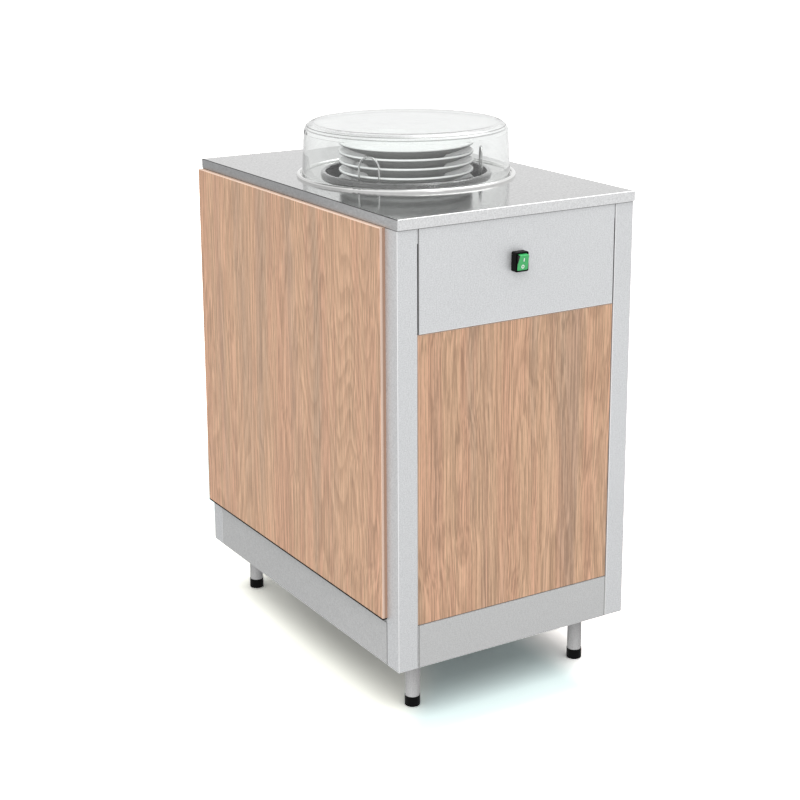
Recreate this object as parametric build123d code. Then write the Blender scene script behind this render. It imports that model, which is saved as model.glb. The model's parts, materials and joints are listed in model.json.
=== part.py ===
from build123d import *
import math
import os

# Heated plate dispenser in a self-service counter cabinet, in millimetres.
# While it is built: X = 0 is the middle, Y = 0 is the worktop's front edge, Z = 0 is the floor.
# At the end everything moves along Y, so that the origin is under the middle of the whole box.

# Worktop
WIDTH = 464.0
DEPTH = 700.0
HEIGHT = 850.0
EDGE = 17.5
TOP_SHEET = 1.5
OVER_SIDE = 1.0
OVER_FRONT = 3.0
OVER_REAR = 2.0

# Frame
BASE = 95.0
POST = 37.0
POST_WALL = 1.5
RAIL_HEIGHT = 74.5
RAIL_DEPTH = 25.0
RAIL_WALL = 1.5
RAIL_LIP = 26.0
RAIL_STEP = 1.6
TUBE = 25.0
TUBE_WALL = 1.5
SEAM = 0.5
BEND = 1.2

# Front
APRON_HEIGHT = 170.5
APRON_SHEET = 1.5
APRON_RETURN = 18.0
APRON_GAP = 2.2
FRONT_PANEL = 12.0
FRONT_RECESS = 1.5
PANEL_SEAM = 1.0

# Side and rear panels
SIDE_PANEL = 9.7
SIDE_BOTTOM_GAP = 10.5
SIDE_TOP_GAP = 1.0
SIDE_FRONT = 35.4
PANEL_EDGE = 1.2
REAR_SHEET = 1.2
REAR_RETURN = 12.0
SLOT_LENGTH = 70.0
SLOT_WIDTH = 6.0
SLOT_PITCH = 18.0
SLOT_ROWS = 6
SLOT_COLUMN = 70.0
SLOT_LOW_GAP = 80.5
SLOT_HIGH_GAP = 102.5
SCREW_HEAD = 8.0
SCREW_HEAD_HEIGHT = 2.2
SCREW_SHANK = 4.0
SCREW_INSET = 9.0

# Base
TRAY_SHEET = 1.5
TRAY_LIP = 12.0
FOOT_PLATE = 3.0
FOOT_PLATE_SIZE = 92.0
FOOT_X = 61.5
FOOT_Y = 59.0
FOOT_TUBE = 25.0
FOOT_TUBE_WALL = 2.0
FOOT_CAP = 26.5
FOOT_CAP_HEIGHT = 18.0
FOOT_STEM = 12.0
FOOT_STEM_SPARE = 21.0
FOOT_BUSH = 16.0
FOOT_TRAVEL = 25.0
RUNNING = 0.05

# Well: flange, shell and jacket
BORE = 283.5
COLLAR_WALL = 8.0
COLLAR_HEIGHT = 8.5
COLLAR_ROUND = 2.5
FLANGE = 386.0
FLANGE_SEAT = 1.5
BEAD_WIDTH = 7.5
BEAD_HEIGHT = 5.5
CUT_GAP = 2.0
SHELL_WALL = 1.5
INSULATION = 14.0
JACKET_WALL = 1.5
WELL_FLOOR = 118.0
FLOOR_SHEET = 2.0
FLOOR_VENT = 12.0
FLOOR_VENTS = 12
FLOOR_VENT_CIRCLE = 200.0

# Guide wires and their rings
GUIDES = 3
GUIDE_RADIUS = 131.5
GUIDE_SPREAD = 39.0
GUIDE_WIRE = 3.5
GUIDE_RISE = 49.5
RING_INNER = 248.0
LOW_RING = 8.0
TOP_RING = 3.0
TOP_RING_DROP = 50.0
HOLE_GAP = 0.1
SEAT_GAP = 0.3

# Plates and their carrier
PLATE = 237.0
PLATE_PITCH = 16.0
PLATE_COUNT = 6
PLATE_RISE = 60.0
PLATE_RIM = 5.0
PLATE_SLOPE = 14.0
PLATE_WELL = 150.0
PLATE_FOOT = 132.0
PLATE_FOOT_WALL = 6.0
PLATE_FOOT_HEIGHT = 9.0
DISC = 224.0
DISC_SHEET = 3.0
DISC_RIM = 9.0
DISC_HOLE = 18.0
DISC_HOLES = 6
CAGE_CLEAR = 10.0
CAGE_RING = 212.0
CAGE_RING_WIDTH = 16.0
CAGE_RING_SHEET = 4.0
CAGE_LEG = 14.0
ARM_WIDTH = 20.0
SHOE_CLEAR = 11.0
SHOE_DEPTH = 8.0
SHOE_HEIGHT = 24.0
SHOE_GAP = 0.3
CARRIER_UP = 20.0
CARRIER_DOWN = 310.0

# Springs and their pins
SPRING_RADIUS = 133.0
SPRING = 12.0
SPRING_WALL = 1.6
EYE_WIRE = 1.8
EYE_HOLE = 2.4
PIN = 5.0
PIN_DROP = 10.0

# Clear cover
COVER_FOOT = 366.0
COVER_TOP = 358.0
COVER_RISE = 94.0
COVER_WALL = 3.5
COVER_ROUND = 17.0

# Switch
SWITCH_X = -4.0
SWITCH_DROP = 73.5
BEZEL_WIDTH = 25.5
BEZEL_HEIGHT = 32.5
BEZEL_PROUD = 12.5
BEZEL_ROUND = 3.0
CUTOUT_WIDTH = 22.0
CUTOUT_HEIGHT = 29.0
SWITCH_DEPTH = 24.0
ROCKER_WIDTH = 21.0
ROCKER_HEIGHT = 26.0
ROCKER_CORNER = 2.5
ROCKER_EDGE = 1.0
ROCKER_FACE = 6.5
ROCKER_BACK = 4.0
ROCKER_TILT = 9.0
ROCKER_PIVOT = 3.5
ROCKER_GAP = 0.4
ROCKER_AXLE = 3.0
ROCKER_STUB = 1.0
BLADE_WIDTH = 6.3
BLADE_SHEET = 0.8
BLADE_LENGTH = 9.0

# Heater, thermostat and supply
HEATER_CIRCLE = 100.0
HEATER_TUBE = 8.0
HEATER_LIFT = 22.0
HEATER_END = 10.0
THERMOSTAT = 16.0
THERMOSTAT_HEIGHT = 9.0
BOX_WIDTH = 90.0
BOX_DEPTH = 55.0
BOX_HEIGHT = 60.0
BOX_WALL = 2.5
BOX_REAR_GAP = 45.5
GLAND_HEX = 24.0
GLAND_SIDE_GAP = 7.0
GLAND_NUT = 8.0
GLAND_DOME = 11.0
GLAND_BORE = 9.0
GLAND_THREAD = 20.0

# Places that follow from the sizes
TOP_SEAT = HEIGHT - EDGE
BODY_X = WIDTH / 2 - OVER_SIDE
BODY_FRONT = OVER_FRONT
BODY_REAR = DEPTH - OVER_REAR
INNER_X = BODY_X - POST
RAIL_TOP = BASE + RAIL_HEIGHT
RAIL_FLOOR = BASE + RAIL_WALL
APRON_BOTTOM = TOP_SEAT - APRON_HEIGHT
SWITCH_Z = TOP_SEAT - SWITCH_DROP
SLOT_LOW = RAIL_TOP + SLOT_LOW_GAP
SLOT_HIGH = TOP_SEAT - SLOT_HIGH_GAP - (SLOT_ROWS - 1) * SLOT_PITCH
GLAND_X = BODY_X - FOOT_PLATE_SIZE - GLAND_SIDE_GAP - GLAND_HEX / 2
GLAND_Y = BODY_REAR - RAIL_DEPTH - BOX_REAR_GAP - BOX_DEPTH / 2
WELL_Y = DEPTH / 2
SHELL_IN = BORE / 2
SHELL_OUT = SHELL_IN + SHELL_WALL
JACKET_IN = SHELL_OUT + INSULATION
JACKET_OUT = JACKET_IN + JACKET_WALL
FLOOR_TOP = WELL_FLOOR + FLOOR_SHEET
COVER_SEAT = HEIGHT + FLANGE_SEAT
TOP_RING_Z = HEIGHT - TOP_RING_DROP
GUIDE_ANGLES = [90 + 360 / GUIDES * i for i in range(GUIDES)]
SPRING_ANGLES = [a + 180 / GUIDES for a in GUIDE_ANGLES]
PLATE_HEIGHT = PLATE_PITCH + PLATE_SLOPE
DISC_TOP = HEIGHT + PLATE_RISE - PLATE_HEIGHT - (PLATE_COUNT - 1) * PLATE_PITCH
CAGE_TOP = DISC_TOP - DISC_SHEET
# At the lower end of its travel the cage stays clear of the heater, and at the upper end the
# upper shoes stay clear of the top ring
HEATER_TOP = FLOOR_TOP + HEATER_LIFT + HEATER_END / 2
CAGE_LOW = HEATER_TOP + CAGE_CLEAR + CARRIER_DOWN
HIGH_ARM = TOP_RING_Z - SHOE_CLEAR - CARRIER_UP - SHOE_HEIGHT
FOOT_STEM_LENGTH = FOOT_BUSH + FOOT_TRAVEL + FOOT_STEM_SPARE
EYE_IN = PIN / 2 + HOLE_GAP
EYE_MID = EYE_IN + EYE_WIRE / 2
TOP_PIN_Z = TOP_RING_Z - PIN_DROP
LOW_PIN_Z = CAGE_LOW + CAGE_RING_SHEET / 2

LOW = (Align.CENTER, Align.CENTER, Align.MIN)
CORNER = (Align.MIN, Align.MIN, Align.MIN)
WELL = Pos(0, WELL_Y, 0)


def block(x0, x1, y0, y1, z0, z1):
    """A box between two corners."""
    return Pos(x0, y0, z0) * Box(x1 - x0, y1 - y0, z1 - z0, align=CORNER)


def rod(radius, z0, z1):
    """An upright round bar about the Z axis."""
    return Pos(0, 0, z0) * Cylinder(radius, z1 - z0, align=LOW)


def ring(r_in, r_out, z0, z1):
    """An upright round ring about the Z axis."""
    return rod(r_out, z0, z1) - rod(r_in, z0, z1)


def turned(outline):
    """A closed outline of edges in the XZ plane, turned about the Z axis."""
    return revolve(make_face(Wire(outline)), Axis.Z)


def at_angle(angle, radius=0.0):
    """A place on a circle about the Z axis, its local X pointing outward."""
    return Rot(0, 0, angle) * Pos(radius, 0, 0)


def joined(pieces):
    """Several solids that keep apart, as one group."""
    return Compound(children=list(pieces))


def hollow_tube(x0, x1, y0, y1, z0, z1, wall, along):
    """A square tube between two corners, open at both ends of its length."""
    grow = {"x": (0, 1, 1), "y": (1, 0, 1), "z": (1, 1, 0)}[along]
    dx, dy, dz = (wall * g for g in grow)
    inner = block(x0 + dx, x1 - dx, y0 + dy, y1 - dy, z0 + dz, z1 - dz)
    return block(x0, x1, y0, y1, z0, z1) - inner


# Worktop

def make_worktop():
    """Folded sheet with a skirt all round and the hole for the well."""
    x = WIDTH / 2
    shell = block(-x, x, 0, DEPTH, TOP_SEAT, HEIGHT)
    shell = fillet(shell.edges().filter_by(Axis.Z) + shell.edges().group_by(Axis.Z)[-1], BEND)
    s = TOP_SHEET
    shell -= block(-x + s, x - s, s, DEPTH - s, TOP_SEAT, HEIGHT - s)
    return shell - WELL * rod(JACKET_OUT + CUT_GAP, TOP_SEAT, HEIGHT)


def make_worktop_core():
    """Board that fills the worktop's skirt."""
    x = WIDTH / 2 - TOP_SHEET
    board = block(-x, x, TOP_SHEET, DEPTH - TOP_SHEET, TOP_SEAT, HEIGHT - TOP_SHEET)
    return board - WELL * rod(JACKET_OUT + CUT_GAP, TOP_SEAT, HEIGHT)


# Frame

def make_post(side, rear):
    """Square corner post, open at the ends."""
    x0 = -BODY_X if side < 0 else INNER_X
    y0 = BODY_REAR - POST if rear else BODY_FRONT
    tube = block(x0, x0 + POST, y0, y0 + POST, BASE, TOP_SEAT)
    tube = fillet(tube.edges().filter_by(Axis.Z), BEND)
    w = POST_WALL
    return tube - block(x0 + w, x0 + POST - w, y0 + w, y0 + POST - w, BASE, TOP_SEAT)


def make_rail(length, step):
    """Bottom rail along X, its web facing -Y: flanges inward, and a lip a step behind the web."""
    w = RAIL_WALL
    h = RAIL_HEIGHT
    outline = Polyline(
        (RAIL_DEPTH, 0),
        (0, 0),
        (0, h),
        (step, h),
        (step, h + RAIL_LIP),
        (step + w, h + RAIL_LIP),
        (step + w, h - w),
        (w, h - w),
        (w, w),
        (RAIL_DEPTH, w),
        close=True,
    )
    return Pos(-length / 2, 0, 0) * extrude(Plane.YZ * make_face(outline), length)


def place_rail(where):
    """One of the four bottom rails, between two posts."""
    across = 2 * INNER_X - 2 * SEAM
    along = BODY_REAR - BODY_FRONT - 2 * POST - 2 * SEAM
    middle = (BODY_REAR + BODY_FRONT) / 2
    if where == "front":
        # The front panel stands on this rail, so the lip is behind the panel
        return Pos(0, BODY_FRONT, BASE) * make_rail(across, FRONT_RECESS + FRONT_PANEL)
    if where == "rear":
        return Pos(0, BODY_REAR, BASE) * Rot(0, 0, 180) * make_rail(across, RAIL_STEP)
    if where == "left":
        return Pos(-BODY_X, middle, BASE) * Rot(0, 0, -90) * make_rail(along, RAIL_STEP)
    return Pos(BODY_X, middle, BASE) * Rot(0, 0, 90) * make_rail(along, RAIL_STEP)


def make_top_rail(where):
    """Square tube under the worktop, between two posts."""
    z0 = TOP_SEAT - TUBE
    x = INNER_X - SEAM
    y0 = BODY_FRONT + POST + SEAM
    y1 = BODY_REAR - POST - SEAM
    if where == "front":
        y = BODY_FRONT + APRON_SHEET
        return hollow_tube(-x, x, y, y + TUBE, z0, TOP_SEAT, TUBE_WALL, "x")
    if where == "rear":
        y = BODY_REAR - REAR_SHEET
        return hollow_tube(-x, x, y - TUBE, y, z0, TOP_SEAT, TUBE_WALL, "x")
    if where == "left":
        return hollow_tube(-BODY_X, -BODY_X + TUBE, y0, y1, z0, TOP_SEAT, TUBE_WALL, "y")
    return hollow_tube(BODY_X - TUBE, BODY_X, y0, y1, z0, TOP_SEAT, TUBE_WALL, "y")


def make_mid_rail():
    """Square tube behind the joint of apron and front panel."""
    x = INNER_X - SEAM
    y = BODY_FRONT + FRONT_RECESS + FRONT_PANEL
    return hollow_tube(-x, x, y, y + TUBE, APRON_BOTTOM - TUBE, APRON_BOTTOM, TUBE_WALL, "x")


# Front

def make_apron():
    """Folded sheet between the front posts, with flanges turned back on three sides."""
    x = INNER_X - APRON_GAP
    s = APRON_SHEET
    y0 = BODY_FRONT
    y1 = y0 + s + APRON_RETURN
    top = TOP_SEAT - SEAM
    sheet = block(-x, x, y0, y1, APRON_BOTTOM, top)
    front_edges = sheet.edges().filter_by(Axis.Z).group_by(Axis.Y)[0]
    low_edges = sheet.edges().filter_by(Axis.X).group_by(Axis.Z)[0].sort_by(Axis.Y)[0:1]
    sheet = fillet(front_edges + low_edges, BEND)
    sheet -= block(-x + s, x - s, y0 + s, y1, APRON_BOTTOM + s, top)
    # The flanges stop below the top rail
    sheet -= block(-x, x, y0 + s, y1, TOP_SEAT - TUBE - SEAM, top)
    return sheet - switch_hole()


def switch_hole():
    """Cut-out that the switch body passes through."""
    x = CUTOUT_WIDTH / 2
    z = CUTOUT_HEIGHT / 2
    return Pos(SWITCH_X, 0, SWITCH_Z) * block(-x, x, 0, BODY_FRONT + APRON_SHEET + 1, -z, z)


def make_front_panel():
    """Wood-faced board under the apron."""
    x = INNER_X - PANEL_SEAM
    y = BODY_FRONT + FRONT_RECESS
    board = block(-x, x, y, y + FRONT_PANEL, RAIL_TOP, APRON_BOTTOM - PANEL_SEAM)
    return chamfer(board.edges().group_by(Axis.Y)[0], PANEL_EDGE / 2)


# Side and rear panels

def make_side_panel(side):
    """Wood-faced board on the outside of the frame."""
    x0 = BODY_X if side > 0 else -BODY_X - SIDE_PANEL
    z0 = RAIL_TOP + SIDE_BOTTOM_GAP
    board = block(x0, x0 + SIDE_PANEL, BODY_FRONT + SIDE_FRONT, BODY_REAR, z0, TOP_SEAT - SIDE_TOP_GAP)
    outer = board.edges().group_by(Axis.X)[-1 if side > 0 else 0]
    return fillet(outer, PANEL_EDGE)


def make_rear_panel():
    """Sheet with turned edges and two groups of vent slots."""
    x = INNER_X - PANEL_SEAM
    s = REAR_SHEET
    z0 = RAIL_TOP + PANEL_SEAM
    z1 = TOP_SEAT - SEAM
    y1 = BODY_REAR
    sheet = block(-x, x, y1 - REAR_RETURN, y1, z0, z1)
    sheet -= block(-x + s, x - s, y1 - REAR_RETURN, y1 - s, z0, z1)
    # The turned edges stop clear of the lip of the rail below and of the rail above
    low_end = RAIL_TOP + RAIL_LIP + SEAM
    high_end = TOP_SEAT - TUBE - SEAM
    sheet -= block(-x, x, y1 - REAR_RETURN, y1 - s, z0, low_end)
    sheet -= block(-x, x, y1 - REAR_RETURN, y1 - s, high_end, z1)
    for low in (SLOT_LOW, SLOT_HIGH):
        for column in (-SLOT_COLUMN, SLOT_COLUMN):
            for row in range(SLOT_ROWS):
                spot = Pos(column, y1 - s, low + row * SLOT_PITCH)
                slot = extrude(Plane.XZ * SlotOverall(SLOT_LENGTH, SLOT_WIDTH), 2 * s, both=True)
                sheet -= spot * slot
    for x, z in screw_places():
        sheet -= Pos(x, y1, z) * Rot(90, 0, 0) * Cylinder(SCREW_SHANK / 2 + HOLE_GAP, 4 * s)
    return sheet


def screw_places():
    """Screws of the rear panel: three in the top rail and three in the rail's lip."""
    x = INNER_X - PANEL_SEAM - SCREW_INSET
    places = []
    for z in (RAIL_TOP + RAIL_LIP / 2, TOP_SEAT - TUBE / 2):
        for k in (-1, 0, 1):
            places.append((k * x, z))
    return places


def make_rear_screws():
    """Pan-head screws, each ending against the metal it is driven into."""
    screws = []
    for x, z in screw_places():
        head = Cylinder(SCREW_HEAD / 2, SCREW_HEAD_HEIGHT, align=LOW)
        head = chamfer(head.edges().group_by(Axis.Z)[-1], SCREW_HEAD_HEIGHT / 2)
        shank = Pos(0, 0, -REAR_SHEET) * Cylinder(SCREW_SHANK / 2, REAR_SHEET, align=LOW)
        screws.append(Pos(x, BODY_REAR, z) * Rot(-90, 0, 0) * (head + shank))
    return joined(screws)


# Base

def foot_places():
    """Centres of the four feet."""
    x = WIDTH / 2 - FOOT_X
    return [(sx * x, y) for y in (FOOT_Y, DEPTH - FOOT_Y) for sx in (-1, 1)]


def make_foot_plates():
    """Corner plates on the rails' lower flanges."""
    z0 = RAIL_FLOOR
    z1 = z0 + FOOT_PLATE
    room = inside_frame(z0, z1, 0)
    size = FOOT_PLATE_SIZE
    plates = []
    for x0 in (-BODY_X, BODY_X - size):
        for y0 in (BODY_FRONT, BODY_REAR - size):
            plates.append(room & block(x0, x0 + size, y0, y0 + size, z0, z1))
    return joined(plates)


def inside_frame(z0, z1, inset):
    """Everything between the rails' webs, less the four posts and a margin all round."""
    margin = SEAM + inset
    x = BODY_X - RAIL_WALL - margin
    y0 = BODY_FRONT + RAIL_WALL + margin
    y1 = BODY_REAR - RAIL_WALL - margin
    room = block(-x, x, y0, y1, z0, z1)
    corner = POST + margin
    for side in (-1, 1):
        x0 = min(side * BODY_X, side * (BODY_X - corner))
        room -= block(x0, x0 + corner, BODY_FRONT, BODY_FRONT + corner, z0, z1)
        room -= block(x0, x0 + corner, BODY_REAR - corner, BODY_REAR, z0, z1)
    return room


def make_base_tray():
    """Floor sheet with turned-up edges, on the corner plates."""
    z0 = RAIL_FLOOR + FOOT_PLATE
    s = TRAY_SHEET
    tray = inside_frame(z0, z0 + TRAY_LIP, 0) - inside_frame(z0 + s, z0 + TRAY_LIP, s)
    return tray - Pos(GLAND_X, GLAND_Y, 0) * rod(GLAND_THREAD / 2 + HOLE_GAP, z0, z0 + s)


def make_foot_sleeves():
    """Round tubes welded under the corner plates."""
    r = FOOT_TUBE / 2
    tube = ring(r - FOOT_TUBE_WALL, r, FOOT_CAP_HEIGHT, RAIL_FLOOR)
    return joined(Pos(x, y, 0) * tube for x, y in foot_places())


def make_foot_bushes():
    """Threaded plastic bushes in the sleeves' lower ends."""
    r = FOOT_TUBE / 2 - FOOT_TUBE_WALL
    bush = ring(FOOT_STEM / 2 + RUNNING, r, FOOT_CAP_HEIGHT, FOOT_CAP_HEIGHT + FOOT_BUSH)
    return joined(Pos(x, y, 0) * bush for x, y in foot_places())


def make_foot():
    """Levelling foot: plastic cap and the stem that screws into the bush."""
    cap = rod(FOOT_CAP / 2, 0, FOOT_CAP_HEIGHT)
    cap = fillet(cap.edges().group_by(Axis.Z)[0], BEND)
    return cap + rod(FOOT_STEM / 2, FOOT_CAP_HEIGHT, FOOT_CAP_HEIGHT + FOOT_STEM_LENGTH)


# Well

def make_flange():
    """Polished drop-in ring: raised collar, flat seat for the cover and a rolled bead."""
    z = HEIGHT
    top = z + COLLAR_HEIGHT
    seat = z + FLANGE_SEAT
    r_in = SHELL_IN
    r_collar = r_in + COLLAR_WALL
    r_out = FLANGE / 2
    r_bead = r_out - BEAD_WIDTH
    bead = BEAD_WIDTH / 2
    bead_z = z + BEAD_HEIGHT - bead
    c = COLLAR_ROUND
    d = c * (1 - math.sqrt(0.5))
    outline = [
        Line((r_in, 0, z), (r_out, 0, z)),
        Line((r_out, 0, z), (r_out, 0, bead_z)),
        ThreePointArc((r_out, 0, bead_z), (r_out - bead, 0, bead_z + bead), (r_bead, 0, bead_z)),
        Line((r_bead, 0, bead_z), (r_bead, 0, seat)),
        Line((r_bead, 0, seat), (r_collar, 0, seat)),
        Line((r_collar, 0, seat), (r_collar, 0, top - c)),
        ThreePointArc((r_collar, 0, top - c), (r_collar - d, 0, top - d), (r_collar - c, 0, top)),
        Line((r_collar - c, 0, top), (r_in + c, 0, top)),
        ThreePointArc((r_in + c, 0, top), (r_in + d, 0, top - d), (r_in, 0, top - c)),
        Line((r_in, 0, top - c), (r_in, 0, z)),
    ]
    return WELL * turned(outline)


def make_shell():
    """Inner wall of the well."""
    return WELL * ring(SHELL_IN, SHELL_OUT, FLOOR_TOP, HEIGHT)


def make_insulation():
    """Mineral wool between shell and jacket."""
    return WELL * ring(SHELL_OUT, JACKET_IN, FLOOR_TOP, HEIGHT)


def make_jacket():
    """Outer wall of the well."""
    return WELL * ring(JACKET_IN, JACKET_OUT, FLOOR_TOP, HEIGHT)


def make_well_floor():
    """Disc that closes shell and jacket below, with vent holes."""
    disc = rod(JACKET_OUT, WELL_FLOOR, FLOOR_TOP)
    for i in range(FLOOR_VENTS):
        spot = at_angle(360 / FLOOR_VENTS * (i + 0.5), FLOOR_VENT_CIRCLE / 2)
        disc -= spot * rod(FLOOR_VENT / 2, WELL_FLOOR, FLOOR_TOP)
    for angle in heater_ends():
        disc -= at_angle(angle, HEATER_CIRCLE / 2) * rod(HEATER_END / 2 + HOLE_GAP, WELL_FLOOR, FLOOR_TOP)
    return WELL * disc


def guide_legs():
    """Places of the upright wires, as angle, radius and offset along the tangent."""
    return [(a, s * GUIDE_SPREAD / 2) for a in GUIDE_ANGLES for s in (-1, 1)]


def make_guide_ring(z0, z1):
    """Flat ring in the shell with a hole for each upright wire."""
    disc = ring(RING_INNER / 2, SHELL_IN - SEAT_GAP, z0, z1)
    for angle, offset in guide_legs():
        hole = Pos(GUIDE_RADIUS, offset, 0) * rod(GUIDE_WIRE / 2 + HOLE_GAP, z0, z1)
        disc -= Rot(0, 0, angle) * hole
    return WELL * disc


def make_guide(angle):
    """Plate guide: one wire bent to a long loop, open at the bottom."""
    r = GUIDE_WIRE / 2
    half = GUIDE_SPREAD / 2
    crown = HEIGHT + GUIDE_RISE - r - half
    path = Wire([
        Line((0, -half, FLOOR_TOP), (0, -half, crown)),
        ThreePointArc((0, -half, crown), (0, 0, crown + half), (0, half, crown)),
        Line((0, half, crown), (0, half, FLOOR_TOP)),
    ])
    start = Plane(origin=(0, -half, FLOOR_TOP), z_dir=(0, 0, 1))
    wire = sweep(start * Circle(r), path)
    return WELL * at_angle(angle, GUIDE_RADIUS) * wire


# Carrier

def make_disc():
    """Round plate under the stack, with a turned-down rim and lightening holes."""
    r = DISC / 2
    z0 = DISC_TOP - DISC_RIM
    disc = rod(r, z0, DISC_TOP)
    disc = fillet(disc.edges().group_by(Axis.Z)[-1], BEND)
    disc -= rod(r - DISC_SHEET, z0, CAGE_TOP)
    for i in range(DISC_HOLES):
        disc -= at_angle(360 / DISC_HOLES * i, DISC / 4) * rod(DISC_HOLE / 2, CAGE_TOP, DISC_TOP)
    return WELL * disc


def make_cage():
    """Welded carrier frame: two rings, three legs, six arms and the lower spring pins."""
    r_out = CAGE_RING / 2
    r_in = r_out - CAGE_RING_WIDTH
    s = CAGE_RING_SHEET
    cage = ring(r_in, r_out, CAGE_TOP - s, CAGE_TOP) + ring(r_in, r_out, CAGE_LOW, CAGE_LOW + s)
    leg_r = r_out - CAGE_RING_WIDTH / 2
    shoe_in = GUIDE_RADIUS - SHOE_DEPTH / 2
    for angle in SPRING_ANGLES:
        leg = at_angle(angle, leg_r) * rod(CAGE_LEG / 2, CAGE_LOW + s, CAGE_TOP - s)
        pin_in = r_out - PIN / 2
        pin_out = SPRING_RADIUS + EYE_WIRE / 2 + PIN / 2
        pin = Pos(pin_in, 0, LOW_PIN_Z) * Rot(0, 90, 0) * Cylinder(PIN / 2, pin_out - pin_in, align=LOW)
        cage += leg + Rot(0, 0, angle) * pin
    for angle in GUIDE_ANGLES:
        w = ARM_WIDTH / 2
        hanger = block(r_out - s, r_out, -w, w, HIGH_ARM, CAGE_TOP - s)
        high_arm = block(r_out - s, shoe_in, -w, w, HIGH_ARM, HIGH_ARM + s)
        low_arm = block(r_out - CAGE_RING_WIDTH / 2, shoe_in, -w, w, CAGE_LOW, CAGE_LOW + s)
        cage += Rot(0, 0, angle) * (hanger + high_arm + low_arm)
    return WELL * cage


def make_shoes():
    """Plastic shoes that run between the two uprights of each guide."""
    half = GUIDE_SPREAD / 2 - GUIDE_WIRE / 2 - SHOE_GAP
    r0 = GUIDE_RADIUS - SHOE_DEPTH / 2
    shoes = []
    for angle in GUIDE_ANGLES:
        for z in (HIGH_ARM, CAGE_LOW):
            shoe = block(r0, r0 + SHOE_DEPTH, -half, half, z, z + SHOE_HEIGHT)
            shoe = chamfer(shoe.edges().filter_by(Axis.Y), 1)
            shoes.append(WELL * Rot(0, 0, angle) * shoe)
    return joined(shoes)


def make_plate(index):
    """China plate; index 0 is the lowest of the stack."""
    r = PLATE / 2
    base = PLATE_FOOT_HEIGHT
    top = PLATE_PITCH
    rim = PLATE_HEIGHT
    lip = PLATE_RIM / 2
    foot = PLATE_FOOT / 2
    well = PLATE_WELL / 2
    outline = [
        Line((0, 0, base), (foot - PLATE_FOOT_WALL, 0, base)),
        Line((foot - PLATE_FOOT_WALL, 0, base), (foot - PLATE_FOOT_WALL, 0, 0)),
        Line((foot - PLATE_FOOT_WALL, 0, 0), (foot, 0, 0)),
        Line((foot, 0, 0), (well, 0, base)),
        ThreePointArc((well, 0, base), ((well + r) / 2, 0, base + 0.42 * (rim - PLATE_RIM - base)),
                      (r - lip, 0, rim - PLATE_RIM)),
        ThreePointArc((r - lip, 0, rim - PLATE_RIM), (r, 0, rim - lip), (r - lip, 0, rim)),
        ThreePointArc((r - lip, 0, rim), ((well + r) / 2, 0, top + 0.42 * (rim - top)),
                      (well, 0, top)),
        Line((well, 0, top), (0, 0, top)),
        Line((0, 0, top), (0, 0, base)),
    ]
    return WELL * Pos(0, 0, DISC_TOP + index * PLATE_PITCH) * turned(outline)


# Springs

def make_spring_pins():
    """Upper spring pins, on the wall of the shell."""
    pins = []
    r1 = SHELL_IN - SEAT_GAP / 2
    r0 = SPRING_RADIUS - EYE_WIRE / 2 - PIN / 2
    for angle in SPRING_ANGLES:
        pin = Pos(r0, 0, TOP_PIN_Z) * Rot(0, 90, 0) * Cylinder(PIN / 2, r1 - r0, align=LOW)
        pins.append(WELL * Rot(0, 0, angle) * pin)
    return joined(pins)


def make_spring(angle):
    """Extension spring, drawn as its sleeve of turns with an eye at each end."""
    r = SPRING / 2
    body_top = TOP_PIN_Z - EYE_MID
    body_low = LOW_PIN_Z + EYE_MID
    turns = ring(r - SPRING_WALL, r, body_low, body_top)
    turns += ring(EYE_HOLE / 2, r, body_low, body_low + EYE_WIRE)
    turns += ring(EYE_HOLE / 2, r, body_top - EYE_WIRE, body_top)
    for z in (LOW_PIN_Z, TOP_PIN_Z):
        turns += Pos(0, 0, z) * Rot(0, 90, 0) * Torus(EYE_MID, EYE_WIRE / 2)
    return WELL * at_angle(angle, SPRING_RADIUS) * turns


# Cover

def make_cover():
    """Clear cover: drafted wall, rounded shoulder and flat top, open below."""
    z0 = COVER_SEAT
    z1 = HEIGHT + COVER_RISE
    w = COVER_WALL
    c = COVER_ROUND
    lean = (COVER_FOOT - COVER_TOP) / 2 / (z1 - z0)
    foot = COVER_FOOT / 2
    top = COVER_TOP / 2
    shoulder = top + lean * c
    d = c * (1 - math.sqrt(0.5))
    inner_c = c - w
    inner_d = inner_c * (1 - math.sqrt(0.5))
    outline = [
        Line((foot - w, 0, z0), (foot, 0, z0)),
        Line((foot, 0, z0), (shoulder, 0, z1 - c)),
        ThreePointArc((shoulder, 0, z1 - c), (top - d + lean * d, 0, z1 - d), (top - c, 0, z1)),
        Line((top - c, 0, z1), (0, 0, z1)),
        Line((0, 0, z1), (0, 0, z1 - w)),
        Line((0, 0, z1 - w), (top - c, 0, z1 - w)),
        ThreePointArc((top - c, 0, z1 - w), (top - w - inner_d, 0, z1 - w - inner_d),
                      (shoulder - w, 0, z1 - c)),
        Line((shoulder - w, 0, z1 - c), (foot - w, 0, z0)),
    ]
    return WELL * turned(outline)


# Switch

def switch_pivot():
    """Place of the rocker's axle."""
    return Pos(SWITCH_X, BODY_FRONT - BEZEL_PROUD + ROCKER_PIVOT, SWITCH_Z)


def rocker_axle(play):
    """Cylinder along the pivot: the rocker's axle, or with play the bore that it turns in."""
    length = ROCKER_WIDTH + 2 * (ROCKER_GAP + ROCKER_STUB + play)
    return Rot(0, 90, 0) * Cylinder(ROCKER_AXLE / 2 + play, length)


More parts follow.
